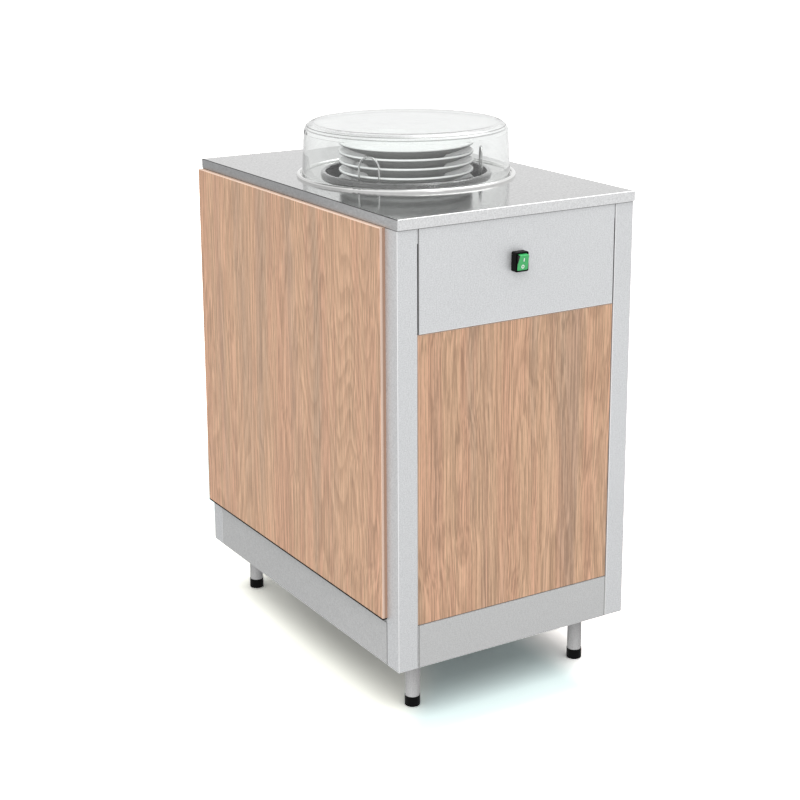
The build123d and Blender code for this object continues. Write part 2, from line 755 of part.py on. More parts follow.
def make_rocker():
    """Rocker at rest: its lower end is pressed in."""
    outline = Plane.XZ * RectangleRounded(ROCKER_WIDTH, ROCKER_HEIGHT, ROCKER_CORNER)
    body = Pos(0, ROCKER_BACK, 0) * extrude(outline, ROCKER_FACE + ROCKER_BACK)
    body = fillet(body.faces().sort_by(Axis.Y)[0].edges(), ROCKER_EDGE)
    return switch_pivot() * Rot(ROCKER_TILT, 0, 0) * (body + rocker_axle(0))


def make_switch_housing():
    """Black surround and the body that passes through the apron."""
    face = BODY_FRONT - BEZEL_PROUD
    inward = (Align.CENTER, Align.MIN, Align.CENTER)
    surround = Pos(0, face, 0) * Box(BEZEL_WIDTH, BEZEL_PROUD, BEZEL_HEIGHT, align=inward)
    surround = fillet(surround.edges().filter_by(Axis.Y), BEZEL_ROUND)
    surround = chamfer(surround.edges().group_by(Axis.Y)[0], BEND / 2)
    width = CUTOUT_WIDTH - 2 * SEAT_GAP
    height = CUTOUT_HEIGHT - 2 * SEAT_GAP
    inner = Pos(0, BODY_FRONT, 0) * Box(width, SWITCH_DEPTH, height, align=inward)
    # The pocket leaves a gap round the rocker at both ends of its tilt
    tilt = math.radians(ROCKER_TILT)
    swing = ROCKER_HEIGHT / 2 * math.cos(tilt) + ROCKER_FACE * math.sin(tilt) + ROCKER_GAP
    sink = ROCKER_BACK * math.cos(tilt) + ROCKER_HEIGHT / 2 * math.sin(tilt) + ROCKER_GAP
    pocket = Box(ROCKER_WIDTH + 2 * ROCKER_GAP, ROCKER_PIVOT + sink, 2 * swing, align=inward)
    body = surround + inner - Pos(0, face, 0) * pocket
    return Pos(SWITCH_X, 0, SWITCH_Z) * body - switch_pivot() * rocker_axle(RUNNING)


def make_switch_blades():
    """Four contact blades behind the switch."""
    blades = []
    y0 = BODY_FRONT + SWITCH_DEPTH
    for x in (-BLADE_WIDTH, BLADE_WIDTH):
        for z in (-BLADE_WIDTH, BLADE_WIDTH):
            blade = Box(BLADE_SHEET, BLADE_LENGTH, BLADE_WIDTH, align=(Align.CENTER, Align.MIN, Align.CENTER))
            blades.append(Pos(SWITCH_X + x, y0, SWITCH_Z + z) * blade)
    return joined(blades)


# Heater and supply

def heater_ends():
    """Angles of the heater's two terminals."""
    gap = math.degrees(1.6 * HEATER_END / HEATER_CIRCLE)
    return (-90 - gap, -90 + gap)


def make_heater():
    """Tubular heating ring with two terminal legs through the well's floor."""
    start, end = heater_ends()
    z = FLOOR_TOP + HEATER_LIFT
    sweep_angle = 360 - (end - start)
    tube = Pos(HEATER_CIRCLE / 2, 0, z) * Rot(90, 0, 0) * Circle(HEATER_TUBE / 2)
    element = Rot(0, 0, end) * revolve(tube, Axis.Z, sweep_angle)
    for angle in (start, end):
        leg = rod(HEATER_END / 2, WELL_FLOOR - FLOOR_SHEET, HEATER_TOP)
        element += at_angle(angle, HEATER_CIRCLE / 2) * leg
    return WELL * element


def make_thermostat():
    """Snap-disc cut-out under the well's floor."""
    can = rod(THERMOSTAT / 2, WELL_FLOOR - THERMOSTAT_HEIGHT, WELL_FLOOR)
    return WELL * can


def make_terminal_box():
    """Closed connection box on the base tray."""
    z0 = RAIL_FLOOR + FOOT_PLATE + TRAY_SHEET
    w = BOX_WALL
    x0 = GLAND_X - BOX_WIDTH / 2
    y0 = GLAND_Y - BOX_DEPTH / 2
    shell = block(x0, x0 + BOX_WIDTH, y0, y0 + BOX_DEPTH, z0, z0 + BOX_HEIGHT)
    shell = fillet(shell.edges().filter_by(Axis.Z), w)
    shell -= block(x0 + w, x0 + BOX_WIDTH - w, y0 + w, y0 + BOX_DEPTH - w, z0 + w, z0 + BOX_HEIGHT - w)
    return shell - Pos(GLAND_X, GLAND_Y, 0) * rod(GLAND_THREAD / 2 + HOLE_GAP, z0, z0 + w)


def make_gland():
    """Cable gland under the base tray: thread, hexagon and dome nut, with its bore."""
    z0 = RAIL_FLOOR + FOOT_PLATE
    thread = rod(GLAND_THREAD / 2, z0, z0 + TRAY_SHEET + BOX_WALL)
    hexagon = Pos(0, 0, z0 - GLAND_NUT) * extrude(RegularPolygon(GLAND_HEX / 2, 6), GLAND_NUT)
    low = z0 - GLAND_NUT
    dome = Pos(0, 0, low - GLAND_DOME) * Cone(GLAND_HEX * 0.32, GLAND_HEX * 0.42, GLAND_DOME, align=LOW)
    gland = thread + hexagon + dome
    bore = rod(GLAND_BORE / 2, low - GLAND_DOME, z0 + TRAY_SHEET + BOX_WALL)
    return Pos(GLAND_X, GLAND_Y, 0) * (gland - bore)


def make_all():
    """Every piece by name."""
    parts = {
        "worktop": make_worktop(),
        "worktop_core": make_worktop_core(),
        "front_apron": make_apron(),
        "front_panel": make_front_panel(),
        "left_panel": make_side_panel(-1),
        "right_panel": make_side_panel(1),
        "rear_panel": make_rear_panel(),
        "rear_panel_screws": make_rear_screws(),
        "mid_rail": make_mid_rail(),
        "base_tray": make_base_tray(),
        "foot_plates": make_foot_plates(),
        "foot_sleeves": make_foot_sleeves(),
        "foot_bushes": make_foot_bushes(),
        "well_flange": make_flange(),
        "well_shell": make_shell(),
        "well_insulation": make_insulation(),
        "well_jacket": make_jacket(),
        "well_floor": make_well_floor(),
        "guide_top_ring": make_guide_ring(TOP_RING_Z, TOP_RING_Z + TOP_RING),
        "guide_low_ring": make_guide_ring(FLOOR_TOP, FLOOR_TOP + LOW_RING),
        "spring_pins": make_spring_pins(),
        "carrier_disc": make_disc(),
        "carrier_cage": make_cage(),
        "carrier_shoes": make_shoes(),
        "cover": make_cover(),
        "switch_housing": make_switch_housing(),
        "switch_blades": make_switch_blades(),
        "switch_rocker": make_rocker(),
        "heater_element": make_heater(),
        "thermostat": make_thermostat(),
        "terminal_box": make_terminal_box(),
        "cable_gland": make_gland(),
    }
    for where in ("front", "rear", "left", "right"):
        parts[f"{where}_rail"] = place_rail(where)
        parts[f"{where}_top_rail"] = make_top_rail(where)
    for side, side_name in ((-1, "left"), (1, "right")):
        for rear, end_name in ((False, "front"), (True, "rear")):
            parts[f"post_{end_name}_{side_name}"] = make_post(side, rear)
    for i, angle in enumerate(GUIDE_ANGLES):
        parts[f"plate_guide_{i + 1}"] = make_guide(angle)
    for i, angle in enumerate(SPRING_ANGLES):
        parts[f"spring_{i + 1}"] = make_spring(angle)
    for i in range(PLATE_COUNT):
        parts[f"plate_{i + 1}"] = make_plate(i)
    for (x, y), name in zip(foot_places(), ("front_left", "front_right", "rear_left", "rear_right")):
        parts[f"foot_{name}"] = Pos(x, y, 0) * make_foot()
    return parts


parts = make_all()
front = min(shape.bounding_box().min.Y for shape in parts.values())
rear = max(shape.bounding_box().max.Y for shape in parts.values())
to_origin = Pos(0, -(front + rear) / 2, 0)
os.makedirs("parts", exist_ok=True)
for name, shape in parts.items():
    export_step(to_origin * shape, f"parts/{name}.step")
print("pieces", len(parts), "moved along Y by", round(-(front + rear) / 2, 4))
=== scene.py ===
import bpy
import bmesh
import json
import math
from mathutils import Matrix, Vector


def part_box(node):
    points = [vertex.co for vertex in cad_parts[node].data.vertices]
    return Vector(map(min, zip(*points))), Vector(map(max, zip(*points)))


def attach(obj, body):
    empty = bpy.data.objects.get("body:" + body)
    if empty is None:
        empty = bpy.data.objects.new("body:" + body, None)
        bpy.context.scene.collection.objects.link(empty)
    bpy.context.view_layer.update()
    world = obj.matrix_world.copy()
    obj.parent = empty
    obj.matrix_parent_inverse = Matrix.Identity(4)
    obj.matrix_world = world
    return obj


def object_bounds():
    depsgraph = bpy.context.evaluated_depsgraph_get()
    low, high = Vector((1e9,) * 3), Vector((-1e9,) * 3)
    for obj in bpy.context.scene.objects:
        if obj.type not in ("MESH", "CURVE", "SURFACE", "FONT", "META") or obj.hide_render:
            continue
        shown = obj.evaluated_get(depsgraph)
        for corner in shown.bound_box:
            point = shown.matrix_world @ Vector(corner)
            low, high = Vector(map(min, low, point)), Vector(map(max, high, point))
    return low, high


# Heated plate dispenser in a counter cabinet, in metres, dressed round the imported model.

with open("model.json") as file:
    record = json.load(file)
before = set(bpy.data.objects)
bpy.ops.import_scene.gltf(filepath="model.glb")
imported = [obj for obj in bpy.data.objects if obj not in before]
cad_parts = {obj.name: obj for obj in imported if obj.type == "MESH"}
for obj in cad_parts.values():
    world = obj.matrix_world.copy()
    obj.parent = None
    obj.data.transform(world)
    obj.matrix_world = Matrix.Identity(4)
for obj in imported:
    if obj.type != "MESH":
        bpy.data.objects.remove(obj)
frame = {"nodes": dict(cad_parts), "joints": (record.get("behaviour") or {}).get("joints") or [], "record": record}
NODES = frame["nodes"]
cad_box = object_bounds()

# Camera, fitted to the photograph's straight edges
CAMERA_PLACE = (-1.54744, -2.50221, 1.35256)
CAMERA_YAW = 31.4316
CAMERA_PITCH = 14.2847
CAMERA_ROLL = -0.2547
CAMERA_LENS = 76.1035
CAMERA_SENSOR = 36.0
CAMERA_SHIFT_Y = -0.1125

# Light: direction as azimuth and elevation in degrees, width of the sun's disc, and irradiance over pi
KEY = (-138.0, 38.0, 60.0, 1.12)
OVERHEAD = (-100.0, 78.0, 80.0, 0.45)
FILL = (40.0, 22.0, 90.0, 0.30)
SKY_LEVEL = 0.35

# Floor: its colour to the camera in zones round the cabinet, painted so that its shadow is darker and bluer in
# front and lighter and warmer on the left and behind, and the distances over which these change
FLOOR_REACH = 30.0
FLOOR_FRONT_SHADE = (1.56, 1.82, 1.80)
FLOOR_LEFT_SHADE = (2.55, 2.56, 2.36)
FLOOR_OUTER = (3.4, 3.3, 3.2)
FLOOR_REAR_SHADE = (2.95, 2.95, 2.73)
FLOOR_CORNER_REACH = (-0.05, 0.05)
FLOOR_REAR_REACH = (-0.05, 0.30)
FLOOR_OUTER_REACH = (0.015, 0.115)
FLOOR_UNDER = (-0.22, -0.10)
FLOOR_RIGHT_PAST = 0.16
# Its colour to light that a surface scatters
FLOOR_HIDDEN = (0.42, 0.42, 0.42)
# Its glow near the cabinet in metal and in the cover, darker there as painted shade, and the distances over which
# that fades
NEAR_FLOOR_SHADE = 0.78
NEAR_FLOOR_REACH = (0.45, 1.6)

# What metal and the cover mirror: a patch of the room has its azimuth and elevation, half width and level
DULL_SIDE = (121.7, 0.0, 62.0, 0.80)
BRIGHT_ABOVE = (0.0, 62.0, 34.0, 3.0)
DARK_ABOVE = (112.0, 60.0, 34.0, 0.3)
BRIGHT_STRIP = (-92.0, -8.0, 16.0, 2.6)
# Share of a patch's half width that has the full level
PATCH_INNER = 0.6

# Colours, in linear light
STEEL = (0.67, 0.68, 0.69)
TOP_STEEL = (0.485, 0.485, 0.485)
SKIRT_FRONT = (0.70, 0.705, 0.71)
# Sides of the worktop's skirt: painted shade, lighter near the front and darker towards the back
SKIRT_SIDE_SHADE = (0.36, 0.365, 0.37)
SKIRT_SIDE_NEAR_SHADE = (0.50, 0.505, 0.51)
# Painted highlight on bends and folds
ARRIS_HIGHLIGHT = (0.97, 0.97, 0.97)
# Painted shade on the worktop's side arrises
ARRIS_SHADE = (0.03, 0.03, 0.03)
# Painted shade in joints and seams, and the painted shadow line under the worktop
SEAM_SHADE = (0.10, 0.10, 0.10)
# Inside of the well and its top guide ring: darker steel as painted shade
WELL_PAINTED_SHADE = (0.19, 0.19, 0.195)
SLEEVE_STEEL = (0.53, 0.53, 0.53)
# Rails: the sheet steel darkened as painted shade near the floor
RAIL_PAINTED_SHADE = (0.585, 0.59, 0.59)
POLISHED = (0.44, 0.44, 0.435)
# Flange: painted shade on the collar and a painted highlight on the bead
COLLAR_SHADE = (0.22, 0.22, 0.22)
BEAD_HIGHLIGHT = (0.80, 0.80, 0.79)
GUIDE_STEEL = (0.55, 0.555, 0.55)
SPRING_STEEL = (0.42, 0.43, 0.45)
OAK_LIGHT = (0.592, 0.381, 0.251)
OAK_PINK = (0.573, 0.345, 0.232)
OAK_DARK = (0.34, 0.205, 0.132)
OAK_GREY = (0.40, 0.290, 0.215)
# Oak edges: a painted highlight along the rim and painted shade on the top edge inside it
OAK_RIM_HIGHLIGHT = (0.66, 0.50, 0.41)
OAK_TOP_SHADE = (0.50, 0.36, 0.28)
OAK_SIDE_EDGE = (0.38, 0.24, 0.175)
BOARD = (0.42, 0.31, 0.20)
WOOL = (0.62, 0.55, 0.34)
CHINA = (0.88, 0.88, 0.865)
# Foot side of the china: painted shade
CHINA_UNDER_SHADE = (0.33, 0.33, 0.325)
CLEAR = (0.985, 0.995, 0.99)
CLEAR_EDGE = (0.66, 0.69, 0.68)
# Painted dark line on the cover's shoulder, standing for what the shoulder refracts
CLEAR_PAINTED_LINE = (0.15, 0.15, 0.15)
CLEAR_SHADOW = (0.92, 0.94, 0.94)
BLACK = (0.004, 0.004, 0.004)
GREEN = (0.062, 0.46, 0.145)
# Painted highlight on the rocker's right-hand arris
GREEN_HIGHLIGHT = (0.28, 0.72, 0.24)
GREY = (0.42, 0.42, 0.42)
NYLON = (0.75, 0.74, 0.70)
BRASS = (0.72, 0.52, 0.24)
MARK_WHITE = (0.90, 0.93, 0.90)

# Parts of a noise's range over which a tone or a smear changes
TONE_SPREAD = (0.3, 0.7)
SMEAR_SPREAD = (0.3, 0.8)
# Part of a normal over which a face counts as looking along an axis
LOOKS_ALONG = (0.7, 0.95)
# Half width of the soft edge of a drawn line
LINE_SOFT = 0.0002

# Ground sheet: noise scales per metre, darker and lighter tone, bump as strength and depth
STEEL_GRIND = (900.0, 900.0, 80.0)
STEEL_GRAIN = 500.0
STEEL_CLOUD = 9.0
STEEL_GRIND_SHARE = 0.35
STEEL_GRAIN_SHARE = 0.65
STEEL_TONES = (0.87, 1.12)
STEEL_CLOUDED = (0.6, 1.4)
STEEL_BUMP = (0.25, 0.00004)

# Worktop sheet: contrast and roughness run from its skirt to its top
TOP_GRIND = (700.0, 110.0, 700.0)
TOP_GRAIN = 330.0
TOP_GRIND_SHARE = 0.5
TOP_GRAIN_SHARE = 0.5
TOP_CONTRAST = (0.14, 0.22)
TOP_CONTRAST_TURN = (0.5, 0.9)
TOP_ROUGHNESS = (0.34, 0.12)
TOP_ROUGHNESS_TURN = (0.2, 0.9)
TOP_BUMP = (0.25, 0.00005)

# Polished steel and drawn spring wire
POLISH_SMEAR = 30.0
POLISH_ROUGHNESS = (0.03, 0.09)
WIRE_DRAWN = 900.0
WIRE_DRAWN_SPREAD = (0.35, 0.65)
WIRE_TONES = (0.85, 1.1)
WIRE_ROUGHNESS = (0.28, 0.42)

# Oak: noise scales per metre, with the grain along Z
OAK_SWAY = (5.0, 5.0, 2.6)
OAK_SWAY_WIDTH = 0.030
OAK_RIPPLE = (40.0, 40.0, 9.0)
OAK_RIPPLE_WIDTH = 0.0014
OAK_BROAD = (17.0, 17.0, 0.8)
OAK_PATCH = (55.0, 55.0, 1.5)
OAK_FIELD = (7.0, 7.0, 0.9)
OAK_RINGS = 38.0
OAK_RING_PEAK = (0.1, 0.85, 1.0)
OAK_RING_STRENGTH = 0.36
OAK_STREAK = (500.0, 500.0, 2.6)
OAK_FIBRE = (700.0, 700.0, 9.0)
OAK_PORE = (640.0, 640.0, 70.0)
OAK_STREAK_SHARE = 0.45
OAK_FIBRE_SHARE = 0.40
OAK_PORE_SHARE = 0.15
OAK_PINK_SPREAD = (0.40, 0.62)
OAK_GREY_SPREAD = (0.50, 0.70)
OAK_GREY_STRENGTH = 0.55
# Spread of the tone, and the factors that it gives
OAK_TONE = (0.38, 0.62, 0.73, 1.24)
# Turns and widths for the edges: the painted highlight along the rim and the painted shadow line along the foot
OAK_END_TURN = (0.5, 0.9)
OAK_TOP_TURN = (0.3, 0.7)
OAK_RIM = (0.0046, 0.0040)
OAK_FOOT = 0.0016
OAK_FOOT_SHADE_STRENGTH = 0.85
OAK_ROUGHNESS = (0.46, 0.58)
OAK_GLOSS = 0.25
OAK_BUMP = (0.25, 0.0001)

# Plain speckled materials: how far roughness goes to either side, and strength of the bump
SPECK_ROUGHNESS = 0.04
SPECK_BUMP = 0.4

# China: the turn from the painted shade on its foot side to its top
CHINA_SPECK = 120.0
CHINA_SHADE_TURN = (-0.35, 0.10)
CHINA_TONES = (0.98, 1.02)
CHINA_ROUGHNESS = (0.5, 0.14)
CHINA_GLOSS = 0.4

# Cover: edge tint seen at a slant, smears and waves of the sheet, and the radii of the painted dark line on its
# shoulder
COVER_GRAZING = (0.72, 1.0)
COVER_IOR = 1.585
COVER_SMEAR = 14.0
COVER_ROUGHNESS = (0.0, 0.03)
COVER_WAVE = 22.0
COVER_BUMP = (0.15, 0.0004)
COVER_LINE = (0.1736, 0.1741, 0.1747, 0.1752)
COVER_LINE_LOW = 0.0135
COVER_LINE_RISE = 0.003

# Rocker: its painted highlight on the right-hand arris and its flanks by the turn of the face, and how far its
# left edge slants
ROCKER_ROUGHNESS = 0.22
ROCKER_SPECK = 170.0
ROCKER_TONES = (0.96, 1.04)
ROCKER_HIGHLIGHT_TURN = (0.25, 0.45)
ROCKER_FLANK = (0.70, 0.80)
ROCKER_SLANT = 0.0042

# Marks on the rocker
ROCKER_TILT = 9.0
ROCKER_FACE = 0.0065
MARK_PROUD = 0.00015
MARK_SINK = 0.00010
BAR_ACROSS = 0.0011
BAR_UP = 0.0050
BAR_SIZE = (0.0018, 0.0058)
ZERO_UP = -0.0064
ZERO_SIZE = (0.0060, 0.0066)
ZERO_LINE = 0.0015

# Bends, by the product of two parts of the normal, where highlights and shade are painted, and lines of painted
# shade and painted highlight that the materials draw
BEND = (0.34, 0.46)
WHOLE_BEND = (0.06, 0.20)
SHADOW_LINE_HEIGHT = 0.0014
JOINT_LINE = 0.0009
JOINT_SHADE_STRENGTH = 0.75
FOLD_LINE = 0.0013
SIDE_WIDTH = (0.2, 0.21)
FRONT_DEPTH = (0.003, 0.005)

# Radii where the flange's painted shade on the collar ends and the painted highlight on its bead begins
FLANGE_COLLAR = (0.1500, 0.1530)
FLANGE_BEAD = (0.1835, 0.1850)

# Black strips under the side panels, put where shade falls below them
SHADE_STRIP_HEIGHT = 0.0027
SHADE_STRIP_DEPTH = 0.0085
SHADE_STRIP_INSET = 0.0003
SHADE_STRIP_ROUND = 0.0004


class Shader:
    """One material with a Principled shader, and short calls to add nodes to it."""

    def __init__(self, name, colour, roughness, metallic=0.0):
        self.material = bpy.data.materials.new(name)
        self.material.use_nodes = True
        self.tree = self.material.node_tree
        self.tree.nodes.clear()
        self.out = self.node("ShaderNodeOutputMaterial")
        self.main = self.node("ShaderNodeBsdfPrincipled")
        self.main.inputs["Base Color"].default_value = (*colour, 1.0)
        self.main.inputs["Roughness"].default_value = roughness
        self.main.inputs["Metallic"].default_value = metallic
        self.link(self.main.outputs["BSDF"], self.out.inputs["Surface"])
        self.place = self.node("ShaderNodeTexCoord").outputs["Object"]

    def node(self, kind, **settings):
        made = self.tree.nodes.new(kind)
        for key, value in settings.items():
            setattr(made, key, value)
        return made

    def link(self, start, end):
        self.tree.links.new(start, end)

    def stretched(self, scale, place=None):
        """Object coordinates, or another place, with a scale along each axis."""
        mapping = self.node("ShaderNodeMapping")
        mapping.inputs["Scale"].default_value = scale
        self.link(place or self.place, mapping.inputs["Vector"])
        return mapping.outputs["Vector"]

    def noise(self, scale, detail=2.0, roughness=0.5, place=None):
        """Noise with one scale, or one along each axis."""
        made = self.node("ShaderNodeTexNoise")
        made.inputs["Scale"].default_value = 1.0
        made.inputs["Detail"].default_value = detail
        made.inputs["Roughness"].default_value = roughness
        made.inputs["Distortion"].default_value = 0.0
        scales = scale if isinstance(scale, tuple) else (scale, scale, scale)
        self.link(self.stretched(scales, place), made.inputs["Vector"])
        return made.outputs["Fac"]

    def split(self, vector):
        """X, Y and Z of a vector."""
        made = self.node("ShaderNodeSeparateXYZ")
        self.link(vector, made.inputs["Vector"])
        return [made.outputs[name] for name in "XYZ"]

    def facing(self):
        """Parts of the object normal."""
        return self.split(self.node("ShaderNodeTexCoord").outputs["Normal"])

    def bend(self, first, second, limits=BEND):
        """1 on a bend between two faces, given their parts of the normal; 0 on the faces."""
        product = self.maths("MULTIPLY", self.maths("ABSOLUTE", first), self.maths("ABSOLUTE", second))
        return self.span(product, *limits)

    def summed(self, *parts):
        """Sum of sockets, each times its share; a part is a socket and a share."""
        total = None
        for socket, share in parts:
            part = self.maths("MULTIPLY", socket, share)
            total = part if total is None else self.maths("ADD", total, part)
        return total

    def scaled(self, colour, factor):
        """A colour socket times a number socket."""
        made = self.node("ShaderNodeVectorMath", operation="SCALE")
        self.link(colour, made.inputs[0])
        self.link(factor, made.inputs["Scale"])
        return made.outputs["Vector"]

    def window(self, value, low, high):
        """1 where a value lies between low and high, 0 elsewhere."""
        return self.maths("MULTIPLY", self.span(value, low - LINE_SOFT, low + LINE_SOFT),
                          self.span(value, high - LINE_SOFT, high + LINE_SOFT, 1.0, 0.0))

    def from_axis(self, node):
        """Distance from the upright axis through the middle of a node."""
        low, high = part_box(node)
        aside = self.node("ShaderNodeVectorMath", operation="SUBTRACT")
        self.link(self.place, aside.inputs[0])
        aside.inputs[1].default_value = tuple((a + b) / 2 for a, b in zip(low, high))
        flat = self.node("ShaderNodeVectorMath", operation="MULTIPLY")
        self.link(aside.outputs["Vector"], flat.inputs[0])
        flat.inputs[1].default_value = (1.0, 1.0, 0.0)
        made = self.node("ShaderNodeVectorMath", operation="LENGTH")
        self.link(flat.outputs["Vector"], made.inputs[0])
        return made.outputs["Value"]

    def maths(self, operation, first, second=0.0):
        return worked(self.tree, operation, first, second)

    def span(self, value, low, high, to_low=0.0, to_high=1.0):
        """value from low..high to to_low..to_high, smooth at the ends."""
        return ranged(self.tree, value, low, high, to_low, to_high)

    def mix(self, share, first, second):
        """Mix of two colours, each a socket or three numbers."""
        return blended(self.tree, share, first, second)

    def colour(self, socket):
        self.link(socket, self.main.inputs["Base Color"])

    def roughness(self, socket):
        self.link(socket, self.main.inputs["Roughness"])

    def bump(self, height, strength, distance):
        made = self.node("ShaderNodeBump")
        made.inputs["Strength"].default_value = strength
        made.inputs["Distance"].default_value = distance
        self.link(height, made.inputs["Height"])
        self.link(made.outputs["Normal"], self.main.inputs["Normal"])


def worked(tree, operation, first, second):
    """A Math node on sockets or numbers."""
    made = tree.nodes.new("ShaderNodeMath")
    made.operation = operation
    for socket, value in zip(made.inputs, (first, second)):
        if isinstance(value, (int, float)):
            socket.default_value = value
        else:
            tree.links.new(value, socket)
    return made.outputs["Value"]


def ranged(tree, value, low, high, to_low, to_high):
    """value from low..high to to_low..to_high, smooth at the ends."""
    made = tree.nodes.new("ShaderNodeMapRange")
    made.interpolation_type = "SMOOTHSTEP"
    limits = {"From Min": low, "From Max": high, "To Min": to_low, "To Max": to_high}
    for name, number in limits.items():
        made.inputs[name].default_value = number
    tree.links.new(value, made.inputs["Value"])
    return made.outputs["Result"]


def blended(tree, share, first, second):
    """Mix of two colours, each a socket or three numbers."""
    made = tree.nodes.new("ShaderNodeMix")
    made.data_type = "RGBA"
    tree.links.new(share, made.inputs["Factor"])
    for socket, value in zip([s for s in made.inputs if s.type == "RGBA"], (first, second)):
        if isinstance(value, tuple):
            socket.default_value = (*value, 1.0)
        else:
            tree.links.new(value, socket)
    return next(s for s in made.outputs if s.type == "RGBA")


def shade(colour, factor):
    """A colour made lighter or darker."""
    return tuple(channel * factor for channel in colour)


def toned(made, value, colour, tones, spread=TONE_SPREAD):
    """A colour from its darker to its lighter tone, as a value goes over a spread."""
    darker, lighter = tones
    return made.mix(made.span(value, *spread), shade(colour, darker), shade(colour, lighter))


# Materials

def paint_joint_shade_and_fold_highlights(made, body):
    """Painted shade in the joints where sheets meet the posts, and painted highlights on the folds over and under
    the front panel.
    """
    x, y, z = made.split(made.place)
    apron_low, apron_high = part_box("front_apron")
    side_low, side_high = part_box("left_rail")
    rail_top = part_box("front_rail")[1][2]
    width = made.maths("ABSOLUTE", x)
    ends = made.window(width, apron_high[0] - JOINT_LINE, apron_high[0] + JOINT_LINE / 4)
    for low in (side_low[1], side_high[1] - JOINT_LINE):
        line = made.window(y, low, low + JOINT_LINE)
        ends = made.maths("MAXIMUM", ends, made.maths("MULTIPLY", line, made.span(width, *SIDE_WIDTH)))
    folds = made.maths("MAXIMUM", made.window(z, apron_low[2], apron_low[2] + FOLD_LINE),
                       made.window(z, rail_top - FOLD_LINE, rail_top))
    near, far = (apron_low[1] + depth for depth in FRONT_DEPTH)
    front = made.maths("MULTIPLY", made.span(y, near, far, 1.0, 0.0),
                       made.span(width, apron_high[0] - JOINT_LINE, apron_high[0], 1.0, 0.0))
    # Painted highlights on the folds over and under the front panel
    body = made.mix(made.maths("MULTIPLY", folds, front), body, ARRIS_HIGHLIGHT)
    # Painted shade in the joints beside the posts
    return made.mix(made.maths("MULTIPLY", ends, JOINT_SHADE_STRENGTH), body, SEAM_SHADE)


def satin_steel(name, colour=STEEL, low=0.50, high=0.60, metallic=0.70, folded=True):
    """Ground stainless sheet with upright grind lines; where it is folded, its bends get a painted highlight."""
    made = Shader(name, colour, low, metallic)
    grind = made.noise(STEEL_GRIND, roughness=0.6)
    cloud = made.noise(STEEL_CLOUD)
    grain = made.noise(STEEL_GRAIN)
    tone = made.summed((grind, STEEL_GRIND_SHARE), (grain, STEEL_GRAIN_SHARE))
    body = toned(made, tone, colour, STEEL_TONES)
    if folded:
        # Painted highlight on the bends
        across, deep, up = made.facing()
        bends = made.maths("MAXIMUM", made.bend(across, deep), made.bend(deep, up))
        bends = made.maths("MAXIMUM", bends, made.bend(across, up))
        body = made.mix(bends, body, ARRIS_HIGHLIGHT)
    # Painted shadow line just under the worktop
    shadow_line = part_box("worktop")[0][2] - SHADOW_LINE_HEIGHT
    height = made.split(made.place)[2]
    body = made.mix(made.span(height, shadow_line - LINE_SOFT, shadow_line + LINE_SOFT), body, SEAM_SHADE)
    made.colour(paint_joint_shade_and_fold_highlights(made, body))
    made.roughness(made.span(made.maths("ADD", tone, cloud), *STEEL_CLOUDED, low, high))
    made.bump(grind, *STEEL_BUMP)
    return made.material


def top_steel(name):
    """Worktop sheet: finer grind, so that it mirrors what stands on it, and a duller skirt; its sides get painted
    shade, its front arris a painted highlight and its side arrises painted shade.
    """
    made = Shader(name, TOP_STEEL, TOP_ROUGHNESS[1], metallic=1.0)
    grind = made.noise(TOP_GRIND, roughness=0.6)
    grain = made.noise(TOP_GRAIN)
    tone = made.summed((grind, TOP_GRIND_SHARE), (grain, TOP_GRAIN_SHARE))
    across, deep, up = made.facing()
    top = made.mix(made.span(made.maths("ABSOLUTE", deep), *LOOKS_ALONG), TOP_STEEL, SKIRT_FRONT)
    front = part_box("worktop")[0][1]
    # Painted shade on the skirt's sides, lighter near the front
    side = made.mix(made.span(made.split(made.place)[1], front, 0.0), SKIRT_SIDE_NEAR_SHADE, SKIRT_SIDE_SHADE)
    body = made.mix(made.span(made.maths("ABSOLUTE", across), *LOOKS_ALONG), top, side)
    # Painted highlight on the arris between the top and its front
    body = made.mix(made.bend(deep, up), body, ARRIS_HIGHLIGHT)
    # Painted shade on the arrises between the top and its sides
    body = made.mix(made.bend(across, up, WHOLE_BEND), body, ARRIS_SHADE)
    contrast = made.span(up, *TOP_CONTRAST_TURN, *TOP_CONTRAST)
    speckle = made.maths("MULTIPLY", made.span(tone, *TONE_SPREAD, -1.0, 1.0), contrast)
    made.colour(made.scaled(body, made.maths("ADD", speckle, 1.0)))
    made.roughness(made.span(up, *TOP_ROUGHNESS_TURN, *TOP_ROUGHNESS))
    made.bump(grain, *TOP_BUMP)
    return made.material


def polish(made):
    """Faint smears on a polished face."""
    smear = made.noise(POLISH_SMEAR, detail=3.0)
    made.roughness(made.span(smear, *SMEAR_SPREAD, *POLISH_ROUGHNESS))


def polished_steel(name, colour):
    """Bright wire of the plate guides."""
    made = Shader(name, colour, POLISH_ROUGHNESS[0], metallic=1.0)
    polish(made)
    return made.material


def flange_steel(name):
    """Polished flange: painted shade on the collar, a half-bright seat and a painted highlight on the bead."""
    made = Shader(name, POLISHED, POLISH_ROUGHNESS[0], metallic=1.0)
    around = made.from_axis("well_flange")
    body = made.mix(made.span(around, *FLANGE_COLLAR), COLLAR_SHADE, POLISHED)
    made.colour(made.mix(made.span(around, *FLANGE_BEAD), body, BEAD_HIGHLIGHT))
    polish(made)
    return made.material


def spring_steel(name):
    """Drawn wire of the springs."""
    made = Shader(name, SPRING_STEEL, WIRE_ROUGHNESS[0], metallic=1.0)
    drawn = made.noise(WIRE_DRAWN)
    made.roughness(made.span(drawn, *TONE_SPREAD, *WIRE_ROUGHNESS))
    made.colour(toned(made, drawn, SPRING_STEEL, WIRE_TONES, WIRE_DRAWN_SPREAD))
    return made.material


